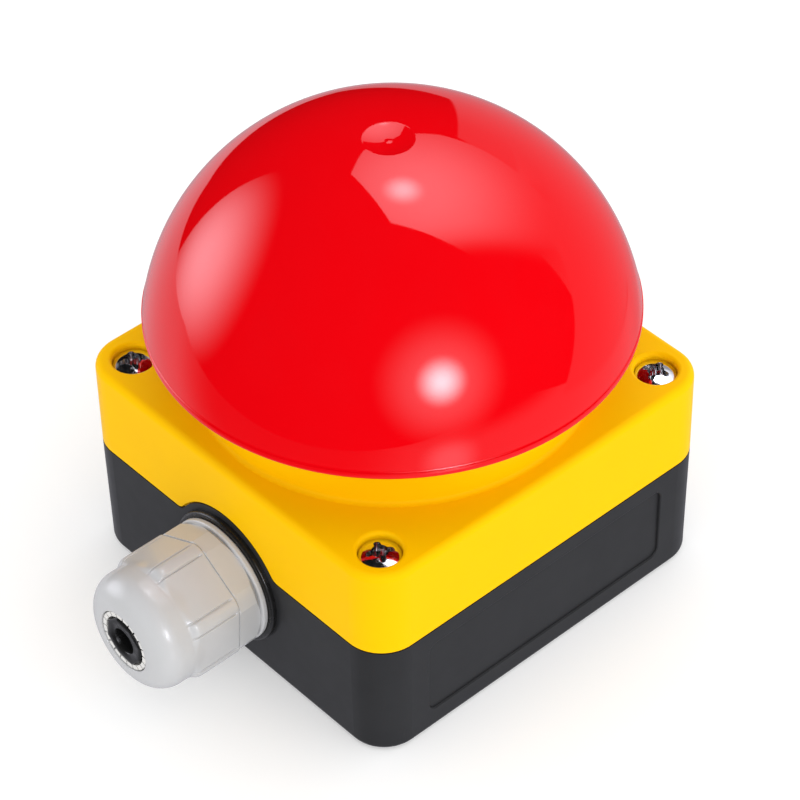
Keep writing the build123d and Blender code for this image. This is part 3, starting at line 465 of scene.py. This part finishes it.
# Moulded, rubber or metal surface. Pairs: roughness and its swing, tone swing and cloud size,
# grain height and size, sizes in mm
def surface(name, colour, rough, clouds, grain=None, metal=0.0, shine=0.5, streak=1.0):
    mat = bpy.data.materials.new(name)
    mat.use_nodes = True
    tree = mat.node_tree
    shader = tree.nodes["Principled BSDF"]
    where = tree.nodes.new("ShaderNodeTexCoord").outputs["Object"]
    if streak != 1.0:
        stretch = tree.nodes.new("ShaderNodeMapping")
        stretch.inputs["Scale"].default_value = (1, 1, streak)
        tree.links.new(where, stretch.inputs["Vector"])
        where = stretch.outputs["Vector"]

    def noise(size, detail):
        node = tree.nodes.new("ShaderNodeTexNoise")
        node.inputs["Scale"].default_value = 1 / (size * MM)
        node.inputs["Detail"].default_value = detail
        tree.links.new(where, node.inputs["Vector"])
        return node.outputs["Fac"]

    tone, cloud_size = clouds
    low = (*[channel * (1 - tone) for channel in colour], 1)
    high = (*[min(channel * (1 + tone), 1) for channel in colour], 1)
    cloudy = ramp(tree, noise(cloud_size, TONE_DETAIL), *NOISE_RANGE, 0, 1)
    tree.links.new(colour_mix(tree, cloudy, low, high), shader.inputs["Base Color"])
    middle, swing = rough
    uneven = noise(cloud_size / GLOSS_FINER, GLOSS_DETAIL)
    gloss = ramp(tree, uneven, *NOISE_RANGE, middle - swing, middle + swing)
    tree.links.new(gloss, shader.inputs["Roughness"])
    if grain:
        height, grain_size = grain
        bump = tree.nodes.new("ShaderNodeBump")
        bump.inputs["Strength"].default_value = 1.0
        bump.inputs["Distance"].default_value = height * MM
        tree.links.new(noise(grain_size, GRAIN_DETAIL), bump.inputs["Height"])
        tree.links.new(bump.outputs["Normal"], shader.inputs["Normal"])
    shader.inputs["Metallic"].default_value = metal
    shader.inputs["Specular IOR Level"].default_value = shine
    FINISHES[name] = mat


FINISHES = {}
surface("dark_shell", (0.025, 0.0255, 0.0275), (0.36, 0.012), (0.04, 9), (0.005, 0.5), shine=0.17)
surface("yellow_shell", (0.98, 0.55, 0.0005), (0.3, 0.01), (0.01, 14), (0.002, 0.5), shine=0.03)
surface("red_cap", (0.775, 0.0008, 0.004), (0.03, 0.01), (0.01, 20))
surface("gland_grey", (0.542, 0.547, 0.558), (0.2, 0.02), (0.01, 6), (0.0015, 0.6), shine=0.45)
surface("clamp_pale", (0.76, 0.75, 0.73), (0.4, 0.05), (0.03, 4), (0.006, 0.3))
surface("black_rubber", (0.008, 0.008, 0.008), (0.32, 0.06), (0.15, 4), (0.004, 0.3), shine=0.4)
surface("screw_steel", (0.78, 0.78, 0.79), (0.1, 0.04), (0.04, 1.5), metal=1.0)
surface("spring_steel", (0.56, 0.56, 0.57), (0.24, 0.08), (0.08, 2), (0.002, 0.2), metal=1.0)
surface("inner_black", (0.025, 0.025, 0.026), (0.45, 0.06), (0.1, 5), (0.01, 0.3))
surface("inner_white", (0.78, 0.78, 0.75), (0.38, 0.05), (0.03, 6), (0.006, 0.3))
surface("block_green", (0.03, 0.22, 0.09), (0.4, 0.05), (0.05, 6), (0.006, 0.3))
surface("block_red", (0.4, 0.02, 0.02), (0.4, 0.05), (0.05, 6), (0.006, 0.3))
surface("contact_brass", (0.75, 0.55, 0.25), (0.28, 0.08), (0.06, 3), (0.003, 0.25), metal=1.0, streak=0.2)


def dress():
    slots = {part["node"]: part["material_slot"] for part in frame["record"]["subparts"]}
    for name, obj in frame["nodes"].items():
        obj.data.materials.clear()
        obj.data.materials.append(FINISHES[slots[name]])


# Closed mesh from rings of points; a ring joins the next, and the last ring the first if looped
def skin(name, rings, finish, looped):
    verts = [point for ring in rings for point in ring]
    count = len(rings[0])
    faces = []
    pairs = list(zip(range(len(rings)), range(1, len(rings))))
    if looped:
        pairs.append((len(rings) - 1, 0))
    for low, high in pairs:
        for i in range(count):
            j = (i + 1) % count
            faces.append((low * count + i, low * count + j, high * count + j, high * count + i))
    if not looped:
        faces.append(tuple(reversed(range(count))))
        faces.append(tuple(range(len(verts) - count, len(verts))))
    mesh = bpy.data.meshes.new(name)
    mesh.from_pydata(verts, [], faces)
    mesh.validate()
    mesh.polygons.foreach_set("use_smooth", [True] * len(mesh.polygons))
    mesh.materials.append(FINISHES[finish])
    obj = bpy.data.objects.new(name, mesh)
    scene.collection.objects.link(obj)
    return obj


def place(obj, body, *nodes):
    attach(obj, body)
    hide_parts(*nodes)


def circle(count):
    return [2 * math.pi * number / count for number in range(count)]


def spaced(first, step, count):
    return [first + step * number for number in range(count)]


# Rings of a shape turned about the button's upright axis, from its profile in mm
def turned(profile, around):
    rings = []
    for radius, height in profile:
        ring = []
        for angle in circle(around):
            ring.append((radius * math.cos(angle) * MM, radius * math.sin(angle) * MM, height * MM))
        rings.append(ring)
    return rings


# Rings round the gland's axis: each has its radii, one for each angle, and its place along Y, mm
def round_gland(rows, angles):
    rings = []
    for radii, place_y in rows:
        ring = []
        for angle, radius in zip(angles, radii):
            height = NUT_HEIGHT + radius * math.sin(angle)
            ring.append((radius * math.cos(angle) * MM, place_y * MM, height * MM))
        rings.append(ring)
    return rings


# How far a unit round stands back from the two faces it joins, over its quarter turn
def quarter(steps):
    for step in range(steps + 1):
        turn = math.pi / 2 * step / steps
        yield 1 - math.cos(turn), 1 - math.sin(turn)


def soft_max(first, second, blend):
    gap = max(blend - abs(first - second), 0) / blend
    return max(first, second) + gap * gap * blend / 4


def soft_min(first, second, blend):
    return -soft_max(-first, -second, blend)


# Boot round the stem: a thin wall in rounded folds
def boot():
    outer = []
    rise = BOOT_HEAD - BOOT_FOOT
    crest = BOOT_OUTER / 2
    root = BOOT_INNER / 2 + BOOT_WALL
    for step in range(BOOT_RINGS + 1):
        share = step / BOOT_RINGS
        fold = (1 - math.cos(2 * math.pi * BOOT_FOLDS * share)) / 2
        outer.append((root + (crest - root) * fold**BOOT_BLUNT, BOOT_FOOT + rise * share))
    inner = [(radius - BOOT_WALL, height) for radius, height in reversed(outer)]
    obj = skin("boot_folds", turned(outer + inner, BOOT_AROUND), "black_rubber", True)
    place(obj, "base", "bellows")
    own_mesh(obj)


# Round wire wound between two heights, its end turns closed up
def coil(name, middle, foot, head, diameter, wire, turns):
    steps = TURN_STEPS * turns
    rise = head - foot - wire
    points = []
    for step in range(steps + 1):
        share = step / steps
        turn = 2 * math.pi * turns * share
        lag = math.sin(2 * math.pi * share) / (2 * math.pi) * END_CLOSED
        height = foot + wire / 2 + rise * (share - lag)
        points.append(Vector((diameter / 2 * math.cos(turn), diameter / 2 * math.sin(turn), height)))
    rings = []
    for step, point in enumerate(points):
        ahead = points[min(step + 1, steps)] - points[max(step - 1, 0)]
        ahead.normalize()
        outward = Vector((point.x, point.y, 0)).normalized()
        side = ahead.cross(outward).normalized()
        outward = side.cross(ahead)
        ring = []
        for angle in circle(WIRE_AROUND):
            at = point + (outward * math.cos(angle) + side * math.sin(angle)) * wire / 2
            ring.append(((at.x + middle[0]) * MM, (at.y + middle[1]) * MM, at.z * MM))
        rings.append(ring)
    return skin(name, rings, "spring_steel", False)


def return_spring():
    obj = coil("return_coil", (0, 0), BOOT_FOOT, BOOT_HEAD, SPRING_DIAMETER, SPRING_WIRE, SPRING_TURNS)
    place(obj, "base", "return_spring")
    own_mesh(obj)


def contact_springs():
    for kind in ("nc", "no"):
        low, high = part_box(f"{kind}_spring")
        middle = ((low[0] + high[0]) / 2 / MM, (low[1] + high[1]) / 2 / MM)
        foot = low[2] / MM
        head = high[2] / MM
        obj = coil(f"{kind}_coil", middle, foot, head, CONTACT_DIAMETER, CONTACT_WIRE, CONTACT_TURNS)
        place(obj, "base", f"{kind}_spring")
        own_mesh(obj)


# Height of the dome's outside, with its dimple and the nub at the dimple's bottom
def dome_height(radius):
    outside = DOME_MIDDLE + DOME_RISE * math.sqrt(1 - (radius / DOME_RADIUS) ** 2)
    if radius > DIMPLE_CURVE / 2:
        return outside
    bottom = DOME_MIDDLE + DOME_RISE - DIMPLE_DEPTH
    dimple = bottom + DIMPLE_CURVE - math.sqrt(DIMPLE_CURVE**2 - radius**2)
    if radius < NUB_ROUND:
        nub = bottom + NUB_HEIGHT - NUB_ROUND + math.sqrt(NUB_ROUND**2 - radius**2)
        dimple = soft_max(dimple, nub, NUB_BLEND)
    return soft_min(outside, dimple, DIMPLE_BLEND)


# Points on an oval about the dome's middle, between two angles from its axis
def oval(radius, rise, start, end, steps):
    points = []
    for step in range(steps + 1):
        turn = start + (end - start) * step / steps
        points.append((radius * math.sin(turn), DOME_MIDDLE + rise * math.cos(turn)))
    return points


def palm_dome():
    radii = [radius for rings in TOP_RINGS for radius in spaced(*rings)]
    profile = [(radius, dome_height(radius)) for radius in radii]
    lip_top = RIM_FOOT + RIM_HEIGHT
    start = math.asin(TOP_END / DOME_RADIUS)
    end = math.acos((lip_top - DOME_MIDDLE) / DOME_RISE)
    profile += oval(DOME_RADIUS, DOME_RISE, start, end, DOME_RINGS)

    # Rolled rim
    profile += [(RIM_RADIUS + aside, lip_top + up) for aside, up in LIP_EDGE]
    for aside, down in quarter(RIM_RINGS):
        profile.append((RIM_RADIUS - RIM_ROUND * aside, RIM_FOOT + RIM_ROUND * down))

    # Hollow inside, up to the hub
    foot_angle = math.acos((RIM_FOOT - DOME_MIDDLE) / INNER_RISE)
    foot = INNER_RADIUS * math.sin(foot_angle)
    profile += [(foot + aside, RIM_FOOT + up) for aside, up in FOOT_EDGE]
    hollow = oval(INNER_RADIUS, INNER_RISE, foot_angle, HUB_ANGLE, INNER_RINGS)
    hollow[0] = (hollow[0][0], hollow[0][1] + FOOT_LIFT)
    profile += hollow

    # Hub with its blind bore
    profile += [
        (HUB_RADIUS, HUB_FOOT + HUB_SIDE),
        (HUB_RADIUS, HUB_FOOT + HUB_BEVEL),
        (HUB_RADIUS - HUB_BEVEL, HUB_FOOT),
        (HUB_BORE + HUB_BEVEL, HUB_FOOT),
        (HUB_BORE, HUB_FOOT + HUB_BEVEL),
        (HUB_BORE, HUB_BORE_TOP),
        (AXIS_RADIUS, HUB_BORE_TOP),
    ]
    place(skin("palm_dome", turned(profile, DOME_AROUND), "red_cap", False), "button", "cap")


# Ribs between the hub and the shell, each from four outlines of its blade, of which the outer two are smaller
def palm_ribs():
    foot = RIB_FOOT + RIB_RISE
    blade = [(HUB_RADIUS - RIB_IN_HUB, RIB_FOOT + RIB_SLOPE), (RIB_REACH + RIB_IN_SHELL, foot)]
    reach_angle = math.asin(RIB_REACH / INNER_RADIUS)
    blade += oval(INNER_RADIUS + RIB_IN_SHELL, INNER_RISE + RIB_IN_SHELL, reach_angle, HUB_ANGLE, RIB_STEPS)
    blade.append((HUB_RADIUS - RIB_IN_HUB, DOME_MIDDLE + INNER_RISE * math.cos(HUB_ANGLE)))
    middle = (HUB_RADIUS + RIB_REACH) / 2
    for number in range(RIB_COUNT):
        angle = 2 * math.pi * number / RIB_COUNT
        rings = []
        for side, bevel in ((-1, 1), (-1, 0), (1, 0), (1, 1)):
            across = side * (RIB_THICK / 2 - RIB_BEVEL * (1 - bevel))
            ring = []
            for radius, height in blade:
                outward = radius + (middle - radius) * RIB_DRAFT * bevel
                lift = RIB_BEVEL * bevel if height <= foot else 0
                x = outward * math.cos(angle) - across * math.sin(angle)
                y = outward * math.sin(angle) + across * math.cos(angle)
                ring.append((x * MM, y * MM, (height + lift) * MM))
            rings.append(ring)
        rib = skin(f"palm_rib_{number + 1}", rings, "red_cap", False)
        rib.data.polygons.foreach_set("use_smooth", [False] * len(rib.data.polygons))
        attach(rib, "button")


# Radius of the nut's round nose at a distance from its foot
def nose(reach):
    crown = NUT_LENGTH - NOSE_ROUND
    if reach > crown:
        return NOSE_BULGE - NOSE_ROUND + math.sqrt(max(NOSE_ROUND**2 - (reach - crown) ** 2, 0))
    back = crown - NOSE_LAND
    if reach > back:
        return NOSE_BULGE
    fall = (back - reach) / NOSE_RUN
    return NOSE_BULGE - NOSE_DIP * fall**2


# Radius of the nut's outside: a hexagon with ribs at its corners, melting into the nose
def nut_radius(angle, reach):
    sector = math.radians(SECTOR)
    off = (angle - math.radians(NUT_TURN)) % sector
    from_corner = min(off, sector - off)
    flat = NUT_FACE / math.cos(math.radians(SECTOR / 2) - from_corner)
    body = soft_min(flat, NUT_CORNER, NUT_EDGE)
    body = soft_min(body, NUT_CORNER - (reach - NUT_BEVEL_FROM), 2 * NUT_EDGE)
    aside = NUT_CORNER * math.sin(from_corner) - RIB_HALF
    inside = min(reach - GROOVE_FROM, GROOVE_TO - reach) / NUT_EDGE
    length = min(max(inside / 2 + 0.5, 0), 1)
    body -= GROOVE_DEPTH * length * math.exp(-((aside / GROOVE_SPREAD) ** 2))
    return soft_max(body, nose(reach), NUT_BLEND)


# Angles of the nut's columns of points, in radians
def nut_angles():
    turns = [*NEAR_CORNER, *spaced(*AT_GROOVE), *PAST_GROOVE]
    flat_from = turns[-1]
    flat_run = SECTOR - 2 * flat_from
    angles = []
    for number in range(360 // SECTOR):
        corner = NUT_TURN + SECTOR * number
        angles += [corner - turn for turn in reversed(turns)]
        angles.append(corner)
        angles += [corner + turn for turn in turns]
        for step in range(1, FLAT_COLUMNS + 1):
            angles.append(corner + flat_from + flat_run * step / (FLAT_COLUMNS + 1))
    return [math.radians(angle) for angle in angles]


def gland_nut():
    angles = nut_angles()
    reaches = [-NUT_JOINT]
    for rings in NUT_RINGS:
        reaches += spaced(*rings)
    crown = NUT_LENGTH - NOSE_ROUND
    for step in range(1, NOSE_RINGS + 1):
        reaches.append(crown + NOSE_ROUND * math.sin(math.pi / 2 * step / NOSE_RINGS))
    rows = []
    for reach in reaches:
        edge = NUT_JOINT_EDGE if reach < 0 else 0.0
        rows.append(([nut_radius(angle, reach) - edge for angle in angles], NUT_FOOT - reach))

    # Mouth and hollow
    inside = [(MOUTH + MOUTH_ROUND + MOUTH_FACE, NUT_LENGTH)]
    for back, aside in quarter(MOUTH_RINGS):
        inside.append((MOUTH + MOUTH_ROUND * aside, NUT_LENGTH - MOUTH_ROUND * back))
    inside += [(MOUTH, NUT_LENGTH - MOUTH_LAND), (NECK_ROOM, NECK_DEPTH), (NECK_ROOM, -NUT_JOINT)]
    for radius, reach in inside:
        rows.append(([radius] * len(angles), NUT_FOOT - reach))
    obj = skin("gland_cap_nut", round_gland(rows, angles), "gland_grey", True)
    place(obj, "gland_cap", "gland_nut")


# Radius of the squeezed bush at an angle: straight runs between its corners
def squeezed(angle):
    corners = [(math.radians(turn), radius) for turn, radius in SEAL_CORNERS]
    for (start, near), (end, far) in zip(corners, corners[1:] + corners[:1]):
        span = (end - start) % (2 * math.pi)
        off = (angle - start) % (2 * math.pi)
        if off <= span:
            break
    return near * far * math.sin(span) / (near * math.sin(off) + far * math.sin(span - off))


def seal():
    angles = circle(SEAL_AROUND)
    length = SEAL_BACK - SEAL_FRONT
    bore = [(SEAL_BORE + SEAL_BORE_BACK, length)]
    bore += [(SEAL_BORE + wider, depth) for wider, depth in SEAL_BORE_EDGE]
    rows = [([radius] * SEAL_AROUND, depth) for radius, depth in bore]
    for inset, depth in SEAL_OUTER_EDGE:
        rows.append(([squeezed(angle) - inset for angle in angles], depth))
    rows += [([SEAL_ROUND] * SEAL_AROUND, depth) for depth in (SEAL_ROUND_FROM, length)]
    rows = [(radii, SEAL_FRONT + depth) for radii, depth in reversed(rows)]
    place(skin("gland_bush", round_gland(rows, angles), "black_rubber", True), "gland_insert", "gland_seal")


def floor():
    verts = [(0, 0, -FLOOR_DEEP)]
    for angle in circle(FLOOR_SIDES):
        verts.append((FLOOR_RADIUS * math.cos(angle), FLOOR_RADIUS * math.sin(angle), -FLOOR_DEEP))
    faces = [(0, side + 1, (side + 1) % FLOOR_SIDES + 1) for side in range(FLOOR_SIDES)]
    mesh = bpy.data.meshes.new("floor")
    mesh.from_pydata(verts, [], faces)
    mat = bpy.data.materials.new("floor")
    mat.use_nodes = True
    shader = mat.node_tree.nodes["Principled BSDF"]
    shader.inputs["Base Color"].default_value = (FLOOR_WHITE, FLOOR_WHITE, FLOOR_WHITE, 1)
    shader.inputs["Roughness"].default_value = 1.0
    shader.inputs["Specular IOR Level"].default_value = 0.0
    shader.inputs["Emission Color"].default_value = WHITE
    shader.inputs["Emission Strength"].default_value = FLOOR_GLOW
    mesh.materials.append(mat)
    obj = bpy.data.objects.new("floor", mesh)
    scene.collection.objects.link(obj)
    obj.visible_glossy = False


camera()
studio()
floor()
dress()
boot()
return_spring()
contact_springs()
palm_dome()
palm_ribs()
gland_nut()
seal()
